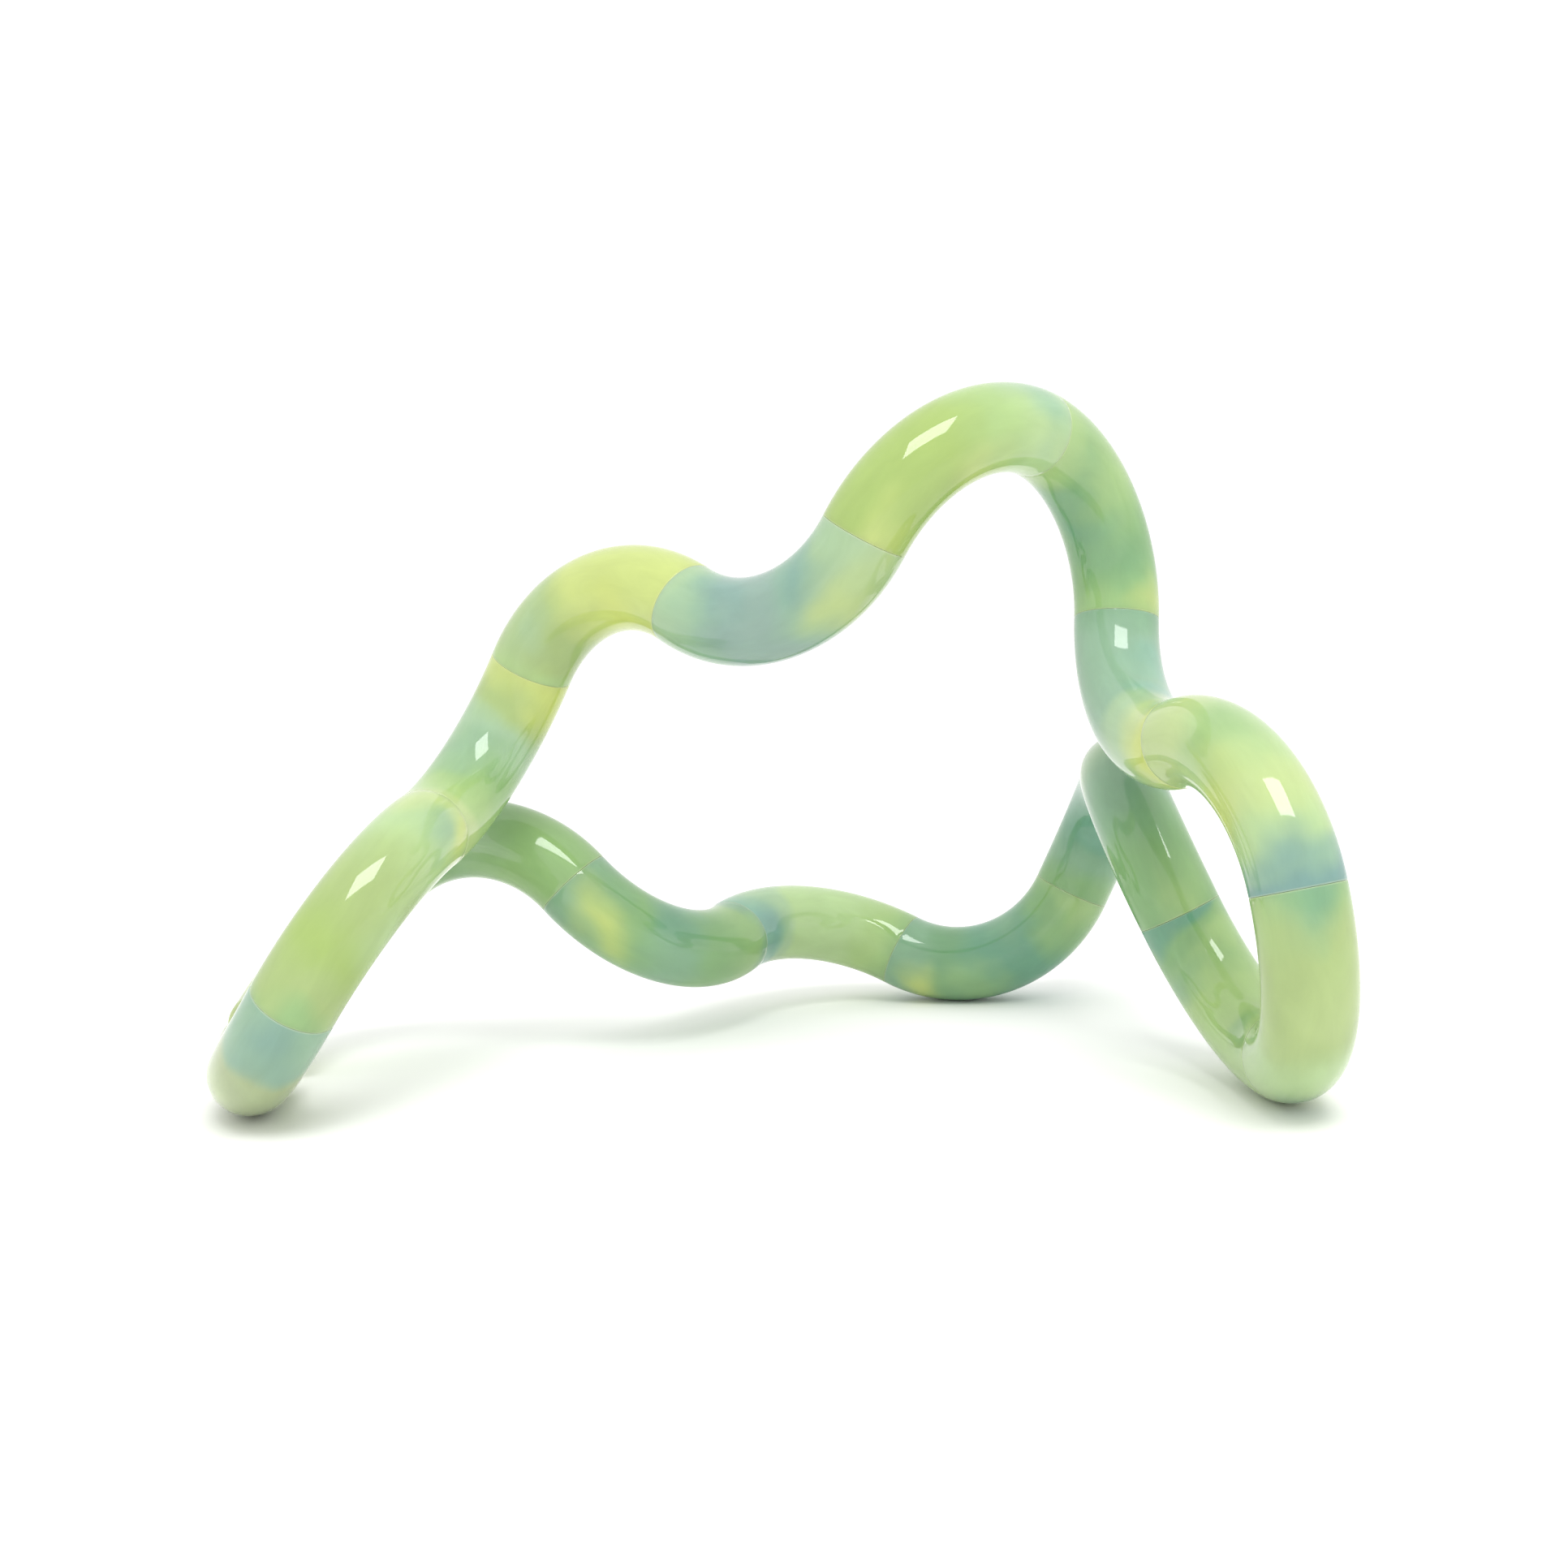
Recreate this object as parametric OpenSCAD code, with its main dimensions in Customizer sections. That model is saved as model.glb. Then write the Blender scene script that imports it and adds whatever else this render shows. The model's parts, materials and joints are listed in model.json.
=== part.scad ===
// Twisty snake puzzle: eighteen equal quarter-ring links that snap end to end into one closed loop.
// Every joint turns without a stop, so the loop folds into endless shapes.
// Here it stands up on three feet, with a long low run behind and an arch on top.
// The loop is popped apart at one joint, between the last link and the first, as when it is opened by hand.

/* [Link] */
// Radius of the bend, from its centre to the middle of the tube
bend_r = 19.8; // [15:0.1:40]
// Radius of the tube
tube_r = 5.6; // [5:0.1:7.5]
// Space left between the faces of two joined links
face_gap = 0.1; // [0.05:0.01:0.3]

/* [Snap joint] */
// Radius of the peg
peg_r = 2.6; // [2:0.1:3]
// How far the peg stands out of its link
peg_len = 3.8; // [3.6:0.1:5]
// How far the bead stands out from the peg
bead_h = 0.3; // [0.2:0.05:0.4]
// Length of the bead along the peg, without its slopes
bead_len = 0.6; // [0.4:0.1:0.8]
// Running clearance between peg and socket
clearance = 0.05; // [0.02:0.01:0.1]
// Radius of the hollow down the middle of the peg
hollow_r = 1.2; // [0.8:0.1:1.3]

/* [Pose] */
// Angles of the first link about X, Y and Z, which stand the loop on its feet
first_link_turn = [115.8, -54, -19.3]; // [-180:0.1:180]
// Turns at joints 1 to 4: 0 carries the curve on and 180 makes an S bend
turns_1_to_4 = [-14, 173, 61, 175]; // [-180:1:180]
// Turns at joints 5 to 8
turns_5_to_8 = [-98, -33, -58, -166]; // [-180:1:180]
// Turns at joints 9 to 12
turns_9_to_12 = [15, -15, 165, 51]; // [-180:1:180]
// Turns at joints 13 to 16
turns_13_to_16 = [97, -110, 157, 104]; // [-180:1:180]
// Turn at joint 17, the last before the open one
turn_17 = 70; // [-180:1:180]

/* [Colours] */
// Yellow-green plastic
lime = "#c6d97a"; // color
// Middle green plastic
green = "#9cc38a"; // color
// Pale mint plastic
mint = "#abd0b0"; // color
// Blue-green plastic
teal = "#84b1b2"; // color

/* [Hidden] */
$fn = 96;
NODES = [
    "link_01", "link_02", "link_03", "link_04", "link_05", "link_06",
    "link_07", "link_08", "link_09", "link_10", "link_11", "link_12",
    "link_13", "link_14", "link_15", "link_16", "link_17", "link_18"
];
links = len(NODES);
turns = concat(turns_1_to_4, turns_5_to_8, turns_9_to_12, turns_13_to_16, [turn_17]);
link_colours = [
    mint, lime, lime, lime, teal, lime,
    green, teal, mint, lime, green, green,
    teal, green, lime, green, green, teal
];

// The bead begins this far out along the peg, past the lip of the socket
lip_len = 1.8;
// The tip narrows by this much, so that it finds its socket
tip_taper = 0.5;
// Free length of socket past the tip, and free length beside each slope of the bead
end_room = 0.3;
slope_room = 0.1;
// The peg reaches back this far into its own link, so that the two are one moulding
peg_root = 2;
// A cut starts this far outside the face that it opens
overcut = 1;

// A joint's frame has its origin on the seam and +Z along the joint's axis, into the link that starts there.
// That link bends from its own +Z towards its own +X, so the next seam lies at [bend_r, 0, bend_r].
function turn_x(a) = [[1, 0, 0, 0], [0, cos(a), -sin(a), 0], [0, sin(a), cos(a), 0], [0, 0, 0, 1]];
function turn_y(a) = [[cos(a), 0, sin(a), 0], [0, 1, 0, 0], [-sin(a), 0, cos(a), 0], [0, 0, 0, 1]];
function turn_z(a) = [[cos(a), -sin(a), 0, 0], [sin(a), cos(a), 0, 0], [0, 0, 1, 0], [0, 0, 0, 1]];
function shift(v) = [[1, 0, 0, v[0]], [0, 1, 0, v[1]], [0, 0, 1, v[2]], [0, 0, 0, 1]];
function first_frame(a) = turn_z(a[2]) * turn_y(a[1]) * turn_x(a[0]);
function next_frame(frame, turn) = frame * shift([bend_r, 0, bend_r]) * turn_y(90) * turn_z(turn);
function frame_of(i) = i == 0 ? first_frame(first_link_turn) : next_frame(frame_of(i - 1), turns[i - 1]);

// The middle of the tube, every second degree along every link, finds the loop's box and its feet
bend_points = [for (a = [0:2:90]) [bend_r * (1 - cos(a)), 0, bend_r * sin(a), 1]];
middles = [for (i = [0:links - 1]) let (frame = frame_of(i)) for (p = bend_points) frame * p];
lows = [for (axis = [0:2]) min([for (p = middles) p[axis]])];
highs = [for (axis = [0:2]) max([for (p = middles) p[axis]])];

// The origin is under the middle of the loop's box, on the surface that it stands on
to_origin = shift([-(lows[0] + highs[0]) / 2, -(lows[1] + highs[1]) / 2, tube_r - lows[2]]);

// Quarter ring of solid tube, which starts a little late to leave the gap at its seam
module bend() {
    late = face_gap / bend_r * 180 / PI;
    translate([bend_r, 0, 0]) rotate([90, 0, 180]) rotate([0, 0, late])
        rotate_extrude(angle = 90 - late) translate([bend_r, 0]) circle(r = tube_r);
}

// Snap peg with a bead near its tip; it points back along -Z into the link before
module peg() {
    bead_end = lip_len + bead_len + 2 * bead_h;
    rotate_extrude() polygon([
        [0, peg_root],
        [peg_r, peg_root],
        [peg_r, -lip_len],
        [peg_r + bead_h, -lip_len - bead_h],
        [peg_r + bead_h, -bead_end + bead_h],
        [peg_r, -bead_end],
        [peg_r - tip_taper, -peg_len],
        [hollow_r, -peg_len],
        [hollow_r, 0],
        [0, 0]
    ]);
}

// Space cut for the next link's peg: a round lip, then a wider chamber that holds the bead
module socket() {
    lip_r = peg_r + clearance;
    chamber_r = lip_r + bead_h;
    lip_end = lip_len - slope_room;
    rotate_extrude() polygon([
        [0, overcut],
        [lip_r, overcut],
        [lip_r, -lip_end],
        [chamber_r, -lip_end - bead_h],
        [chamber_r, -peg_len - end_room],
        [0, -peg_len - end_room]
    ]);
}

// One moulded link in its own frame: peg at the start of the bend, socket at its end
module link() {
    difference() {
        union() {
            bend();
            peg();
        }
        translate([bend_r, 0, bend_r]) rotate([0, 90, 0]) socket();
    }
}

// Link number i in its place along the chain
module placed_link(i) {
    color(link_colours[i]) multmatrix(to_origin * frame_of(i)) link();
}

for (i = [0:links - 1]) {
    placed_link(i);
}
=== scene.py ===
# %% [markdown]
# # A twisty snake puzzle in milky plastic
# The toy is a closed chain of eighteen equal quarter rings. Each one plugs into the next with a
# snap peg and can be turned round for ever. It stands on three feet, with a high arch on the right.
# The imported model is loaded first. It is the fixed frame, and it says where every link is.

# %% Load the frame
import json
import math

import bmesh
import bpy
from mathutils import Matrix, Vector


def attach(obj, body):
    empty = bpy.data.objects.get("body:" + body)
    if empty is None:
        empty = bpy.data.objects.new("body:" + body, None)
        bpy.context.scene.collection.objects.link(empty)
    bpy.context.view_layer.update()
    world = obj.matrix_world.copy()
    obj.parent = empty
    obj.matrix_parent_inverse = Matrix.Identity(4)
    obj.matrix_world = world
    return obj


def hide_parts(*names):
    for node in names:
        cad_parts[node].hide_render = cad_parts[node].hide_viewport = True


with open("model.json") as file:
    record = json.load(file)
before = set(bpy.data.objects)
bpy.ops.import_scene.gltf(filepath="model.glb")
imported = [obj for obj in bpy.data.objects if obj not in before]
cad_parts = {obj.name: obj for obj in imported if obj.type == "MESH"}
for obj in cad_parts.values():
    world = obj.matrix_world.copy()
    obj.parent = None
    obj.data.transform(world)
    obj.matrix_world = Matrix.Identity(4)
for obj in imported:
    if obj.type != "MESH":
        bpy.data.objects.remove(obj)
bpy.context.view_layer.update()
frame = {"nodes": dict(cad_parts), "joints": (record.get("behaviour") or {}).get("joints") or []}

# %% [markdown]
# ## Where each link sits
# A quarter ring is known from its two seams. The joints give both: their places, and their axes,
# which are square to the faces that meet there. A link's own frame has its origin on the first
# seam. It heads along +Z and bends towards +X, so its last seam is at (bend, 0, bend).
# The first and last link have a joint at one end only. Their other end follows from how far they
# are turned against their neighbour, because every link has the same shape.

# %% Read the seams
joints = {j["name"]: j for j in frame["joints"]}
LINKS = sorted(frame["nodes"])


def joint_between(number):
    """Place and axis of the joint that follows link `number`."""
    joint = joints["joint_%02d" % number]
    return Vector(joint["pos_m"]), Vector(joint["axis"]).normalized()


def frame_between(start, start_axis, end, end_axis):
    """Matrix of the quarter ring that runs from one seam to the next."""
    across = end - start
    heading = start_axis if start_axis.dot(across) > 0 else -start_axis
    leaving = end_axis if end_axis.dot(across) > 0 else -end_axis
    turn = Matrix((leaving, heading.cross(leaving), heading)).transposed()
    return Matrix.Translation(start) @ turn.to_4x4()


places = {}
for number in range(2, len(LINKS)):
    places[number] = frame_between(*joint_between(number - 1), *joint_between(number))

seam_a, seam_b = joint_between(1)[0], joint_between(2)[0]
BEND = (seam_b - seam_a).length / math.sqrt(2)
print("links:", len(LINKS), " bend radius in mm:", round(1000 * BEND, 3))

# %% Place the two end links
# How far link 2 is turned against link 1, and link 18 against link 17
FIRST_TURN = math.radians(-14)
LAST_TURN = math.radians(70)
along_a_link = Matrix.Translation((BEND, 0, BEND)) @ Matrix.Rotation(math.radians(90), 4, "Y")

first_step = along_a_link @ Matrix.Rotation(FIRST_TURN, 4, "Z")
last_step = along_a_link @ Matrix.Rotation(LAST_TURN, 4, "Z")
places[1] = places[2] @ first_step.inverted()
places[18] = places[17] @ last_step
print("end links placed at", [round(1000 * c, 1) for c in places[1].translation],
      [round(1000 * c, 1) for c in places[18].translation])

# %% [markdown]
# ## The shape of one link
# The real link is injection moulded: a round bar bent through a quarter turn, with a hollow snap
# peg on its first face and a socket in its last face. It could be a curve with a round bevel, but
# a curve has no peg and no socket. Here a circle is spun through the bend, and its end rings are
# extruded and scaled into the faces, the peg and the socket, so that it is one closed skin.
# The rims of the faces are rounded by less than a tenth of a millimetre, as moulded edges are. That
# small groove is what makes a seam show as a fine line.

# %% Sizes of one link
MM = 0.001
TUBE = 5.6 * MM
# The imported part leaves 0.1 mm between two faces. Here they almost touch, so that a seam shows as
# a fine line.
GAP = 0.02 * MM
RIM_ROUNDING = 0.07 * MM
RIM_STEPS = 3
ROUND = 64
STEPS = 48
# Radius and depth in mm, counted from the face.
# The peg has a bead near its tip and a hollow down its middle.
PEG = [(2.6, 0.0), (2.6, 1.8), (2.9, 2.1), (2.9, 2.7), (2.6, 3.0), (2.1, 3.8), (1.2, 3.8), (1.2, 0.0)]
# The socket has a lip, then a wider chamber for the bead.
SOCKET = [(2.65, 0.0), (2.65, 1.7), (2.95, 2.0), (2.95, 4.1)]
peg_length = max(depth for radius, depth in PEG)
print("the peg stands out", peg_length, "mm and the socket is", SOCKET[-1][1], "mm deep")


# %% Turn an end ring into rings of another size and depth
def grow_rings(bm, ring, profile, start_radius, direction, level):
    """Extrude a ring through (radius, depth) steps in mm, then close it.

    direction is where depth grows, and level is the place of the face that it starts from."""
    radius, depth = start_radius, 0.0
    for next_radius, next_depth in profile:
        made = bmesh.ops.extrude_edge_only(bm, edges=ring)["geom"]
        corners = [g for g in made if isinstance(g, bmesh.types.BMVert)]
        ring = [g for g in made if isinstance(g, bmesh.types.BMEdge)
                and all(v in corners for v in g.verts)]
        centre = level + direction * depth
        size = next_radius * MM / radius
        if abs(size - 1) > 1e-6:
            to_centre = Matrix.Translation(-centre)
            bmesh.ops.scale(bm, verts=corners, vec=(size, size, size), space=to_centre)
        if abs(next_depth * MM - depth) > 1e-9:
            bmesh.ops.translate(bm, verts=corners, vec=direction * (next_depth * MM - depth))
        radius, depth = next_radius * MM, next_depth * MM
    bmesh.ops.edgeloop_fill(bm, edges=ring)


print("rings to grow at each end:", len(PEG), "and", len(SOCKET))


# %% Spin the bar, then add the peg and the socket
def link_shape():
    """One link in its own frame, as a bmesh."""
    bm = bmesh.new()
    late = GAP / BEND
    centre = Vector((BEND, 0, 0))
    turn = Matrix.Rotation(late, 4, "Y")
    about_centre = Matrix.Translation(centre) @ turn @ Matrix.Translation(-centre)
    circle = bmesh.ops.create_circle(bm, segments=ROUND, radius=TUBE, matrix=about_centre)["verts"]
    first_ring = list(bm.edges)
    spun = bmesh.ops.spin(bm, geom=circle + first_ring, cent=centre, axis=(0, 1, 0),
                          angle=math.radians(90) - late, steps=STEPS, use_merge=False, use_duplicate=False)
    last_ring = [g for g in spun["geom_last"] if isinstance(g, bmesh.types.BMEdge)]
    grow_rings(bm, first_ring, PEG, TUBE, Vector((0, 0, -1)), about_centre @ Vector((0, 0, 0)))
    grow_rings(bm, last_ring, SOCKET, TUBE, Vector((-1, 0, 0)), Vector((BEND, 0, BEND)))
    bmesh.ops.recalc_face_normals(bm, faces=bm.faces)
    bmesh.ops.bevel(bm, geom=first_ring + last_ring, offset=RIM_ROUNDING, offset_type="OFFSET",
                    affect="EDGES", segments=RIM_STEPS, profile=0.5, material=-1)
    bmesh.ops.recalc_face_normals(bm, faces=bm.faces)
    return bm


sample = link_shape()
print("one link:", len(sample.verts), "corners,", len(sample.faces), "faces, open edges:",
      sum(1 for e in sample.edges if len(e.link_faces) != 2),
      " volume mm3:", round(sample.calc_volume() * 1e9, 1))
sample.free()

# %% [markdown]
# ## Coordinates that follow the bar
# The cloudy colours run along each link, so they need to know how far along the bend a point is.
# A UV map would have a seam. Instead each corner remembers where it was in the straight bar: its
# length along the bar, how far it is to the outer side of the bend, and how far to the side.
# Patterns on these three numbers bend with the link and never stretch.

# %% Remember the straight bar
LENGTH = BEND * math.pi / 2


def remember_straight(bm):
    """Store each corner's place in the unbent bar, in metres, as the attribute `straight`."""
    straight = bm.verts.layers.float_vector.new("straight")
    for v in bm.verts:
        inward = BEND - v.co.x
        if v.co.z < 0:
            v[straight] = (v.co.z, inward - BEND, v.co.y)
        else:
            angle = math.atan2(v.co.z, inward)
            v[straight] = (BEND * angle, math.hypot(inward, v.co.z) - BEND, v.co.y)


def on_the_bar(along, around_deg):
    """The point of the straight bar's skin at a share of its length and an angle round it."""
    around = math.radians(around_deg)
    return (along * LENGTH, TUBE * math.cos(around), TUBE * math.sin(around))


print("a link is", round(1000 * LENGTH, 1), "mm long along its middle")

# %% Make a piece from a link
# An edge that folds more sharply than this is shaded as a crisp edge.
CRISP = math.radians(35)


def link_piece(number):
    """A finished link in its place, with smooth sides and crisp inner steps."""
    bm = link_shape()
    remember_straight(bm)
    bmesh.ops.transform(bm, verts=bm.verts, matrix=places[number])
    for face in bm.faces:
        face.smooth = True
    for edge in bm.edges:
        edge.smooth = edge.calc_face_angle(0) < CRISP
    mesh = bpy.data.meshes.new("bar_%02d" % number)
    bm.to_mesh(mesh)
    bm.free()
    piece = bpy.data.objects.new("bar_%02d" % number, mesh)
    bpy.context.scene.collection.objects.link(piece)
    return piece


bars = {number: link_piece(number) for number in range(1, len(LINKS) + 1)}
for number, bar in bars.items():
    node = "link_%02d" % number
    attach(bar, node)
    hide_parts(node)
print("pieces made:", len(bars))

# %% [markdown]
# ## Milky plastic
# The links are moulded in glossy polystyrene. Swirls of lime, yellow, green, teal and blue pigment
# were not quite mixed when the mould was filled, so each link comes out different, and the colour
# jumps where two links meet. The plastic is a little cloudy inside: light goes in and spreads,
# which softens the shading, so the shader gets some subsurface scattering. The mould was polished,
# so the skin is glossy, with an IOR of 1.55 for polystyrene.
# The pigments are named once. Every link then has a few of them along its length, and a few soft
# clouds of another pigment at a place on its skin.

# %% Pigments
def linear(hex_colour):
    """An sRGB hex colour as the linear colour that shaders use."""
    shares = [int(hex_colour[i:i + 2], 16) / 255 for i in (1, 3, 5)]
    return tuple(s / 12.92 if s <= 0.04045 else ((s + 0.055) / 1.055) ** 2.4 for s in shares) + (1.0,)


PIGMENT = {name: linear(colour) for name, colour in {
    "apple": "#97ae62",
    "lime": "#9aae70",
    "pear": "#9cb778",
    "butter": "#b3c072",
    "yellow": "#bec86a",
    "straw": "#aec083",
    "celery": "#a5be88",
    "mint": "#98b38d",
    "leaf": "#8aab72",
    "moss": "#7ca26e",
    "fern": "#6d976f",
    "sea": "#65957a",
    "jade": "#7ba080",
    "teal": "#86a68c",
    "aqua": "#7aa592",
    "slate": "#829c90",
    "blue": "#70948c",
    "sage": "#9caa7e",
}.items()}
print("pigments:", ", ".join(PIGMENT))

# %% The pigments of each link, from its peg to its socket
SWIRLS = {
    1: [(0.0, "sage"), (0.7, "sage"), (0.85, "teal"), (1.0, "teal")],
    2: [(0.0, "leaf"), (0.1, "lime"), (0.3, "apple"), (0.5, "lime"), (0.8, "celery"), (0.97, "straw")],
    3: [(0.0, "straw"), (0.12, "pear"), (0.45, "leaf"), (0.62, "mint"), (0.8, "lime"), (1.0, "butter")],
    4: [(0.0, "pear"), (0.12, "lime"), (0.32, "lime"), (0.52, "butter"), (1.0, "butter")],
    5: [(0.0, "mint"), (0.18, "teal"), (0.35, "slate"), (0.52, "slate"), (0.7, "teal"), (1.0, "mint")],
    6: [(0.0, "apple"), (0.4, "apple"), (0.62, "pear"), (0.85, "celery"), (1.0, "celery")],
    7: [(0.0, "pear"), (0.25, "leaf"), (0.5, "moss"), (0.75, "moss"), (1.0, "leaf")],
    8: [(0.0, "jade"), (0.2, "teal"), (0.55, "teal"), (0.72, "mint"), (0.9, "straw"), (1.0, "butter")],
    9: [(0.0, "straw"), (0.15, "straw"), (0.45, "celery"), (0.66, "straw"), (0.82, "celery"),
        (0.92, "teal"), (1.0, "blue")],
    10: [(0.0, "leaf"), (0.15, "lime"), (0.5, "lime"), (0.75, "celery"), (1.0, "celery")],
    11: [(0.0, "pear"), (0.55, "pear"), (0.78, "leaf"), (0.88, "moss"), (0.96, "sea"), (1.0, "sea")],
    12: [(0.0, "moss"), (0.25, "moss"), (0.5, "jade"), (1.0, "leaf")],
    13: [(0.0, "jade"), (0.4, "sea"), (0.6, "sea"), (0.8, "jade"), (1.0, "moss")],
    14: [(0.0, "leaf"), (0.12, "moss"), (0.3, "sea"), (0.5, "sea"), (0.72, "fern"), (0.86, "jade"),
        (1.0, "jade")],
    15: [(0.0, "leaf"), (0.2, "pear"), (0.4, "celery"), (0.66, "celery"), (0.8, "mint"), (0.97, "aqua")],
    16: [(0.0, "jade"), (0.1, "leaf"), (0.3, "moss"), (0.5, "jade"), (0.72, "moss"), (1.0, "jade")],
    17: [(0.0, "leaf"), (0.25, "leaf"), (0.6, "moss"), (1.0, "pear")],
    18: [(0.0, "jade"), (0.3, "leaf"), (0.6, "pear"), (0.85, "straw"), (1.0, "sage")],
}
print("links with pigments:", len(SWIRLS))

# %% Clouds of another pigment: how far along, how far round in degrees, size in mm
CLOUDS = {
    1: [(0.5, 40, 6, "straw"), (0.92, 5, 7, "blue")],
    2: [(0.84, 345, 5, "teal"), (0.45, 290, 7, "celery"), (0.96, 300, 5, "yellow")],
    3: [(0.5, 200, 8, "teal"), (0.92, 120, 7, "yellow")],
    4: [(0.2, 275, 7, "mint"), (0.72, 215, 7, "yellow")],
    5: [(0.83, 20, 8, "butter"), (0.74, 100, 7, "blue"), (0.3, 105, 7, "blue"), (0.12, 70, 5, "mint")],
    6: [(0.55, 250, 7, "butter"), (0.93, 330, 7, "aqua"), (0.78, 350, 6, "mint"), (0.05, 290, 5, "butter")],
    7: [(0.4, 283, 9, "pear"), (0.97, 280, 5, "butter"), (0.3, 165, 8, "sea"),
        (0.55, 185, 8, "sea"), (0.78, 210, 7, "fern")],
    8: [(0.3, 210, 7, "aqua"), (0.6, 190, 6, "aqua"), (0.97, 80, 5, "yellow"), (0.05, 120, 5, "jade")],
    9: [(0.55, 272, 7, "yellow"), (0.88, 335, 6, "blue"), (0.42, 335, 8, "leaf")],
    10: [(0.04, 345, 5, "sea"), (0.12, 290, 6, "pear"), (0.4, 10, 8, "straw"), (0.92, 10, 6, "jade")],
    11: [(0.72, 240, 6, "jade"), (0.4, 170, 7, "pear"), (0.12, 215, 5, "moss"), (0.8, 150, 5, "pear")],
    12: [(0.12, 330, 6, "leaf"), (0.5, 0, 8, "jade"), (0.06, 10, 5, "pear")],
    13: [(0.5, 200, 7, "aqua"), (0.95, 240, 6, "leaf")],
    14: [(0.83, 322, 5.5, "yellow"), (0.35, 215, 7, "jade"), (0.05, 300, 5, "pear"), (0.6, 300, 6, "leaf")],
    15: [(0.94, 140, 5.5, "blue"), (0.35, 100, 7, "celery")],
    16: [(0.83, 348, 6.5, "yellow"), (0.5, 280, 7, "sea")],
    17: [(0.1, 70, 7, "leaf"), (0.5, 90, 7, "mint")],
    18: [(0.3, 90, 8, "straw"), (0.6, 200, 7, "aqua")],
}
print("links with clouds:", len(CLOUDS))


# %% [markdown]
# ## From pigments to plastic
# The pattern could be painted on an image, but an image has a seam and a fixed sharpness. Here nodes
# look it up from the straight bar's coordinates. Noise first pushes each point a little to the side,
# and only then are its pigment and its clouds looked up, so their borders come out swirled.
# Sizes are real ones. A noise texture's scale is one over the size of what it draws.

# %% Sizes of the pattern
SWIRL_SIZE = 100 / 9 * MM
SWIRL_PUSH = 12 * MM
CLOUD_STRENGTH = 0.7
WISP_SIZE = 10 / 3 * MM
WISP_SQUEEZE = 0.4
# The rim is painted paler, a painted glow by each face: it begins at the first of these distances from the
# face and is palest at the second.
PAINTED_RIM_GLOW = 0.2 * MM
PAINTED_RIM_GLOW_FULL = 0.05 * MM
PAINTED_RIM_GLOW_STRENGTH = 0.22
SCUFF_SIZE = 5 / 7 * MM
SINK_SIZE = 25 / 6 * MM
SINK_DEPTH = 0.04 * MM
# Each link looks at the noise this far from the link before it, in metres, so no two are alike.
LINK_STEP = (0.05, 0.013, 0.021)
print("swirls are", round(SWIRL_SIZE / MM), "mm across, wisps", round(WISP_SIZE / MM, 1), "mm")


# %% One helper adds a node with its settings and its links
def add_node(tree, kind, settings=None, **feeds):
    """A node of this kind. settings are its properties, feeds its inputs, by name or as _number."""
    node = tree.nodes.new(kind)
    for name, value in (settings or {}).items():
        setattr(node, name, value)
    for name, value in feeds.items():
        key = int(name[1:]) if name[0] == "_" else name.replace("_", " ")
        socket = node.inputs[key]
        if isinstance(value, bpy.types.NodeSocket):
            tree.links.new(value, socket)
        else:
            socket.default_value = value
    return node


print("a Mix node's colours are inputs 6 and 7, and its colour result is output 2")


# %% Where the pattern is looked up
def pattern_places(tree, number):
    """The straight bar's point, the same point in this link's own noise, and the swirled point."""
    bar = add_node(tree, "ShaderNodeAttribute", {"attribute_name": "straight"}).outputs["Vector"]
    own = add_node(tree, "ShaderNodeVectorMath", {"operation": "ADD"}, _0=bar,
                   _1=tuple(number * step for step in LINK_STEP)).outputs["Vector"]
    # The noise stays mostly near a half, so most pushes are 1 to 3 mm long.
    swirl = add_node(tree, "ShaderNodeTexNoise", {"normalize": True}, Vector=own,
                     Scale=1 / SWIRL_SIZE, Detail=2.0, Roughness=0.5).outputs["Color"]
    push = add_node(tree, "ShaderNodeVectorMath", {"operation": "SUBTRACT"}, _0=swirl,
                    _1=(0.5, 0.5, 0.5)).outputs["Vector"]
    pushed = add_node(tree, "ShaderNodeVectorMath", {"operation": "MULTIPLY_ADD"}, _0=push,
                      _1=(SWIRL_PUSH, SWIRL_PUSH, SWIRL_PUSH), _2=bar).outputs["Vector"]
    return bar, own, pushed


print("links are", round(Vector(LINK_STEP).length / MM), "mm apart in the noise")


# %% Pigments along the link, with its clouds on top
def swirled_colour(tree, number, pushed):
    """The colour of link `number` at a swirled point."""
    along = add_node(tree, "ShaderNodeSeparateXYZ", Vector=pushed).outputs["X"]
    share = add_node(tree, "ShaderNodeMath", {"operation": "DIVIDE"}, _0=along,
                     _1=LENGTH).outputs["Value"]
    ramp = add_node(tree, "ShaderNodeValToRGB", Fac=share)
    ramp.color_ramp.interpolation = "EASE"
    stops = SWIRLS[number]
    while len(ramp.color_ramp.elements) < len(stops):
        ramp.color_ramp.elements.new(0.5)
    for element, (place, pigment) in zip(ramp.color_ramp.elements, stops):
        element.position = place
        element.color = PIGMENT[pigment]
    colour = ramp.outputs["Color"]
    for place, around, size, pigment in CLOUDS[number]:
        away = add_node(tree, "ShaderNodeVectorMath", {"operation": "DISTANCE"}, _0=pushed,
                        _1=on_the_bar(place, around)).outputs["Value"]
        cloud = add_node(tree, "ShaderNodeMapRange", {"interpolation_type": "SMOOTHSTEP"},
                         Value=away, From_Min=0.0, From_Max=size * MM, To_Min=CLOUD_STRENGTH,
                         To_Max=0.0).outputs["Result"]
        colour = add_node(tree, "ShaderNodeMix", {"data_type": "RGBA"}, _0=cloud, _6=colour,
                          _7=PIGMENT[pigment]).outputs[2]
    return colour


print("clouds in all:", sum(len(clouds) for clouds in CLOUDS.values()))
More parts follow.
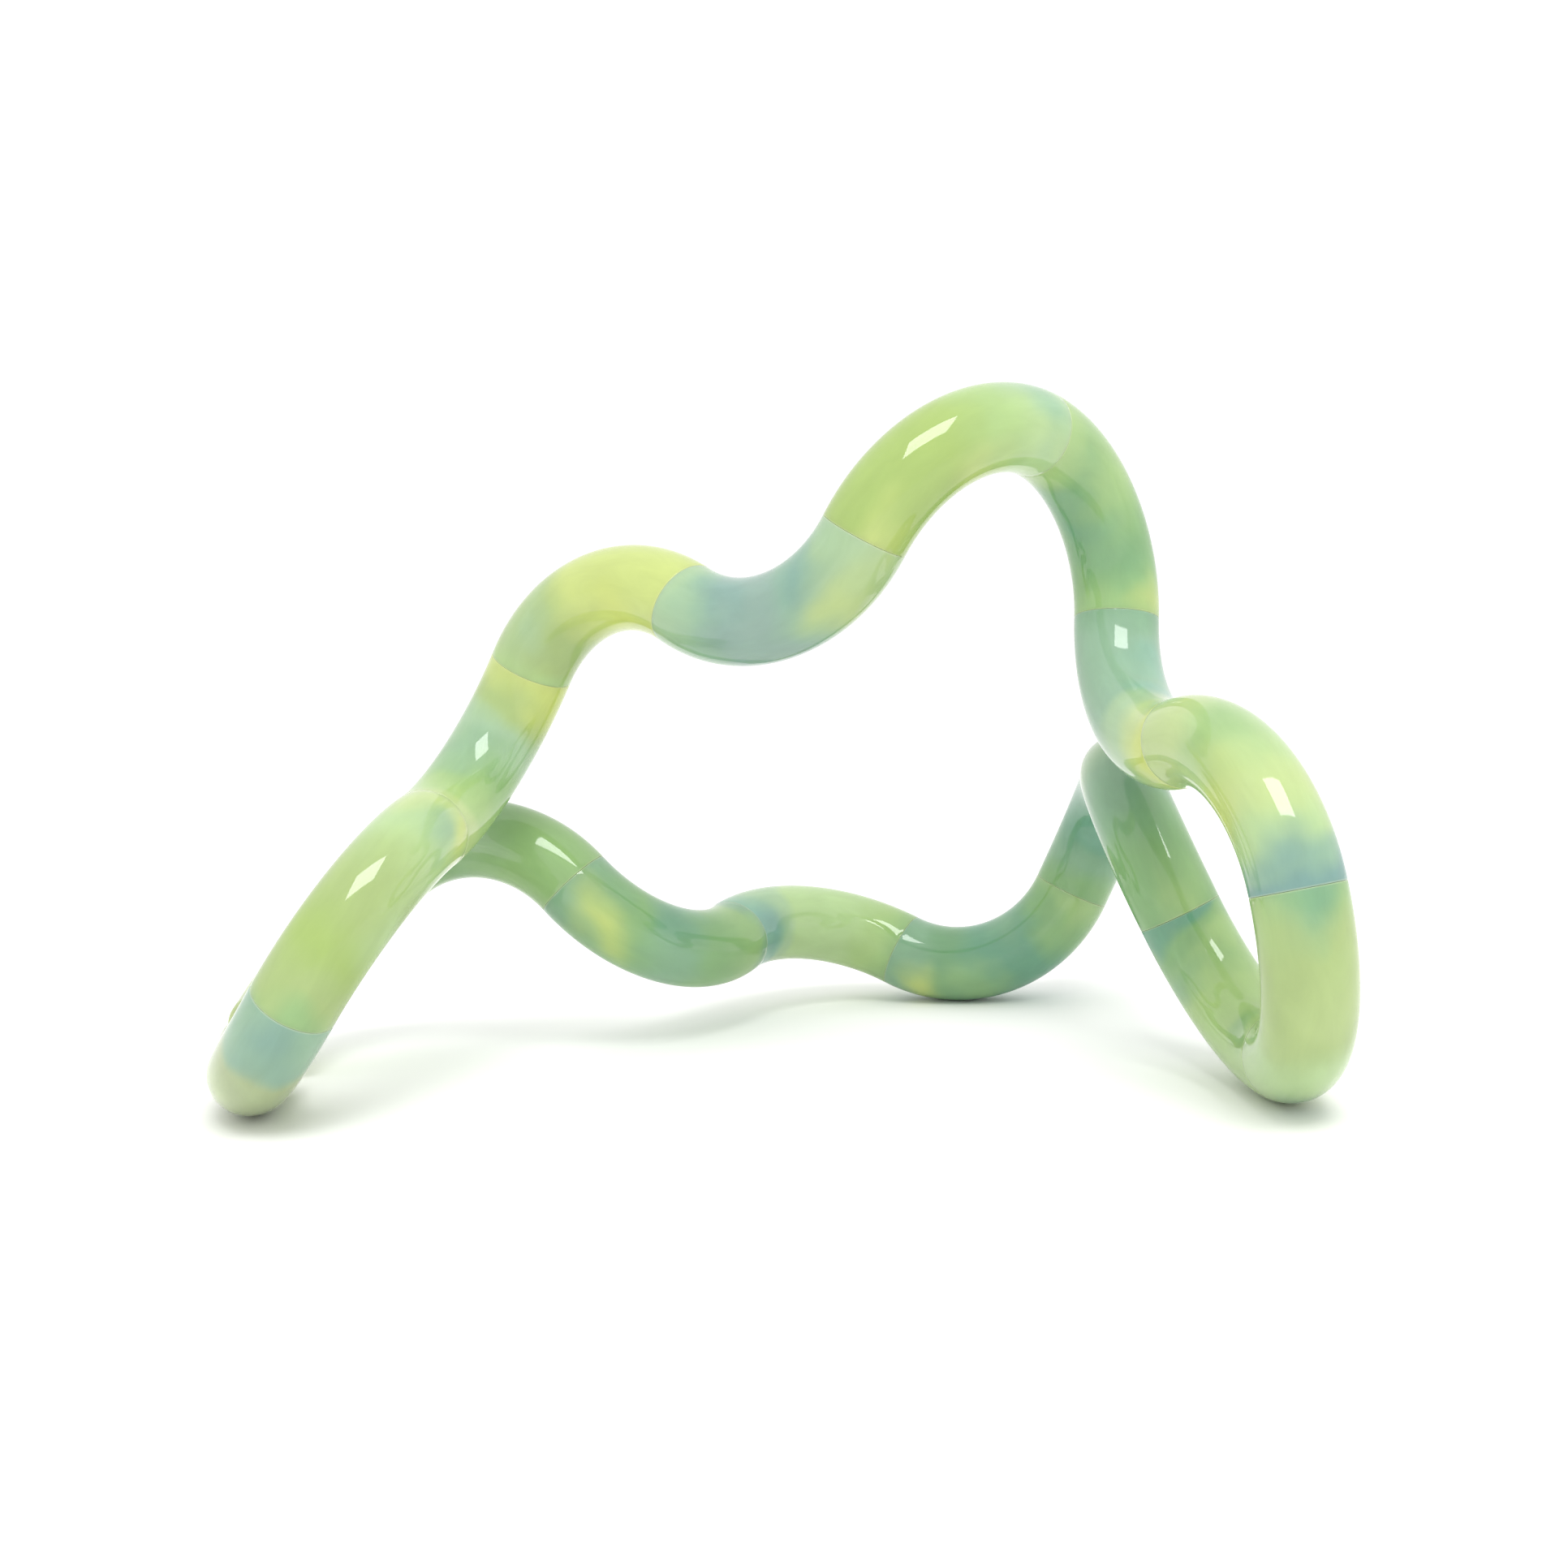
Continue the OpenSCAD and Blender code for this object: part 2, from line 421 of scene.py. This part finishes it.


# %% Wisps, and the painted glow at the rim of each face
def wispy_colour(tree, own, colour):
    """The colour with thin wisps, drawn out along the bar as it filled, denser or paler by a twentieth."""
    drawn = add_node(tree, "ShaderNodeVectorMath", {"operation": "MULTIPLY"}, _0=own,
                     _1=(WISP_SQUEEZE, 1.0, 1.0)).outputs["Vector"]
    wisps = add_node(tree, "ShaderNodeTexNoise", Vector=drawn, Scale=1 / WISP_SIZE, Detail=4.0,
                     Roughness=0.6, Distortion=0.6).outputs["Fac"]
    dense = add_node(tree, "ShaderNodeMapRange", Value=wisps, From_Min=0.3, From_Max=0.7,
                     To_Min=0.95, To_Max=1.05).outputs["Result"]
    return add_node(tree, "ShaderNodeVectorMath", {"operation": "SCALE"}, _0=colour,
                    _3=dense).outputs["Vector"]


def painted_rim_glow(tree, bar, colour):
    """The colour, painted paler in the last fifth of a millimetre: a painted glow for light leaking out of
    the clear rim, which also lifts the shade in the seam's groove.
    """
    plain = add_node(tree, "ShaderNodeSeparateXYZ", Vector=bar).outputs["X"]
    from_middle = add_node(tree, "ShaderNodeMath", {"operation": "SUBTRACT"}, _0=plain,
                           _1=LENGTH / 2).outputs["Value"]
    to_face = add_node(tree, "ShaderNodeMath", {"operation": "ABSOLUTE"},
                       _0=from_middle).outputs["Value"]
    rim = add_node(tree, "ShaderNodeMapRange", {"interpolation_type": "SMOOTHSTEP"}, Value=to_face,
                   From_Min=LENGTH / 2 - PAINTED_RIM_GLOW, From_Max=LENGTH / 2 - PAINTED_RIM_GLOW_FULL, To_Min=0.0,
                   To_Max=PAINTED_RIM_GLOW_STRENGTH).outputs["Result"]
    # Painted glow: a pale colour mixed in next to each face, standing in for light and lifting the groove's
    # shade.
    return add_node(tree, "ShaderNodeMix", {"data_type": "RGBA"}, _0=rim, _6=colour,
                    _7=linear("#d9e3b4")).outputs[2]


# The width of the painted glow at the rims.
print("pale rim:", round(PAINTED_RIM_GLOW / MM, 1), "mm wide")


# %% The moulded skin
def moulded_skin(tree, own):
    """Roughness and normal of a polished moulding that has been handled."""
    # Handling leaves very fine scuffs, under a millimetre across, that vary the gloss.
    scuffs = add_node(tree, "ShaderNodeTexNoise", Vector=own, Scale=1 / SCUFF_SIZE, Detail=4.0,
                      Roughness=0.6).outputs["Fac"]
    gloss = add_node(tree, "ShaderNodeMapRange", Value=scuffs, From_Min=0.35, From_Max=0.75,
                     To_Min=0.03, To_Max=0.09).outputs["Result"]
    # The skin shrinks by some ten microns unevenly as it cools, over about 4 mm.
    sink = add_node(tree, "ShaderNodeTexNoise", Vector=own, Scale=1 / SINK_SIZE,
                    Detail=1.0).outputs["Fac"]
    normal = add_node(tree, "ShaderNodeBump", Height=sink, Strength=0.25,
                      Distance=SINK_DEPTH).outputs["Normal"]
    return gloss, normal


print("scuffs are", round(SCUFF_SIZE / MM, 1), "mm across, sink marks", round(SINK_SIZE / MM, 1), "mm")


# %% Milky polystyrene for one link
def milky_polystyrene(number):
    """Glossy moulded polystyrene with its own swirl of pigments."""
    material = bpy.data.materials.new("moulded_milky_polystyrene_%02d" % number)
    material.use_nodes = True
    tree = material.node_tree
    tree.nodes.clear()
    bar, own, pushed = pattern_places(tree, number)
    colour = swirled_colour(tree, number, pushed)
    colour = wispy_colour(tree, own, colour)
    # Painted glow next to each seam.
    colour = painted_rim_glow(tree, bar, colour)
    gloss, normal = moulded_skin(tree, own)
    plastic = add_node(tree, "ShaderNodeBsdfPrincipled", Base_Color=colour, Roughness=gloss,
                       Normal=normal, IOR=1.55, Subsurface_Weight=0.35,
                       Subsurface_Radius=(1.0, 1.0, 0.7), Subsurface_Scale=3 * MM)
    add_node(tree, "ShaderNodeOutputMaterial", Surface=plastic.outputs["BSDF"])
    return material


SLOTS = {"mint_plastic": (1, 9), "teal_plastic": (5, 8, 13, 18), "green_plastic": (7, 11, 12, 14, 16, 17),
         "lime_plastic": (2, 3, 4, 6, 10, 15)}
for slot, numbers in SLOTS.items():
    for number in numbers:
        bars[number].data.materials.append(milky_polystyrene(number))
print("materials made:", len(bpy.data.materials))

# %% [markdown]
# ## The floor and the light
# The toy stands in a white studio. One smallish softbox hangs high in front of it. It is small, so
# each tube carries a short bright window of light. The white room does the rest: it fills the
# shadows and puts a pale edge on every silhouette. The floor is a white sheet that is lit just to
# white, so only the shadows close to the feet can be seen on it.

# %% White floor
FLOOR_REACH = 6.0


def white_sheet():
    """A wide flat floor at the level of the feet."""
    bm = bmesh.new()
    bmesh.ops.create_grid(bm, x_segments=1, y_segments=1, size=FLOOR_REACH)
    mesh = bpy.data.meshes.new("floor")
    bm.to_mesh(mesh)
    bm.free()
    floor = bpy.data.objects.new("floor", mesh)
    bpy.context.scene.collection.objects.link(floor)
    material = bpy.data.materials.new("matt_white_paper")
    material.use_nodes = True
    paper = material.node_tree.nodes["Principled BSDF"]
    paper.inputs["Base Color"].default_value = linear("#f7f7f6")
    paper.inputs["Roughness"].default_value = 0.9
    paper.inputs["Specular IOR Level"].default_value = 0.1
    mesh.materials.append(material)
    return floor


white_sheet()
print("floor:", 2 * FLOOR_REACH, "m wide")


# %% Softbox and white room
def softbox(name, place, target, width, height, watts):
    """A rectangular lamp at a place, facing a target, in metres."""
    lamp = bpy.data.lights.new(name, "AREA")
    lamp.shape = "RECTANGLE"
    lamp.size = width
    lamp.size_y = height
    lamp.energy = watts
    holder = bpy.data.objects.new(name, lamp)
    holder.location = place
    holder.rotation_euler = (Vector(target) - Vector(place)).to_track_quat("-Z", "Y").to_euler()
    bpy.context.scene.collection.objects.link(holder)


WINDOW_PLACE = (0.16, -0.62, 1.06)
TOY_MIDDLE = (0, 0, 0.04)
ROOM_LIGHT = 1.14
softbox("window_softbox", WINDOW_PLACE, TOY_MIDDLE, width=0.64, height=0.46, watts=7.4)

room = bpy.data.worlds.new("white_room")
bpy.context.scene.world = room
room.use_nodes = True
walls = room.node_tree.nodes["Background"]
walls.inputs["Color"].default_value = (1, 1, 1, 1)
walls.inputs["Strength"].default_value = ROOM_LIGHT
bpy.context.scene.view_settings.view_transform = "Standard"

# %% [markdown]
# ## The camera
# It looks at the front of the toy from about 28 cm away, a little from above, and it leans
# slightly to one side. Its place and angles are in the frame's own axes.

# %% Camera
CAMERA_PLACE = (0.01954, -0.2758, 0.07026)
# A tilt of 90 degrees would look level.
CAMERA_TILT = math.radians(84.29)
CAMERA_LEAN = math.radians(-2.72)

lens = bpy.data.cameras.new("camera")
lens.sensor_width = 36.0
lens.lens = 48.21
lens.shift_x = -0.0649
lens.shift_y = -0.0212
lens.clip_start = 0.01
camera = bpy.data.objects.new("camera", lens)
camera.matrix_world = (Matrix.Translation(CAMERA_PLACE) @ Matrix.Rotation(CAMERA_TILT, 4, "X")
                       @ Matrix.Rotation(CAMERA_LEAN, 4, "Z"))
bpy.context.scene.collection.objects.link(camera)
bpy.context.scene.camera = camera
print("camera at", [round(c, 3) for c in camera.location])
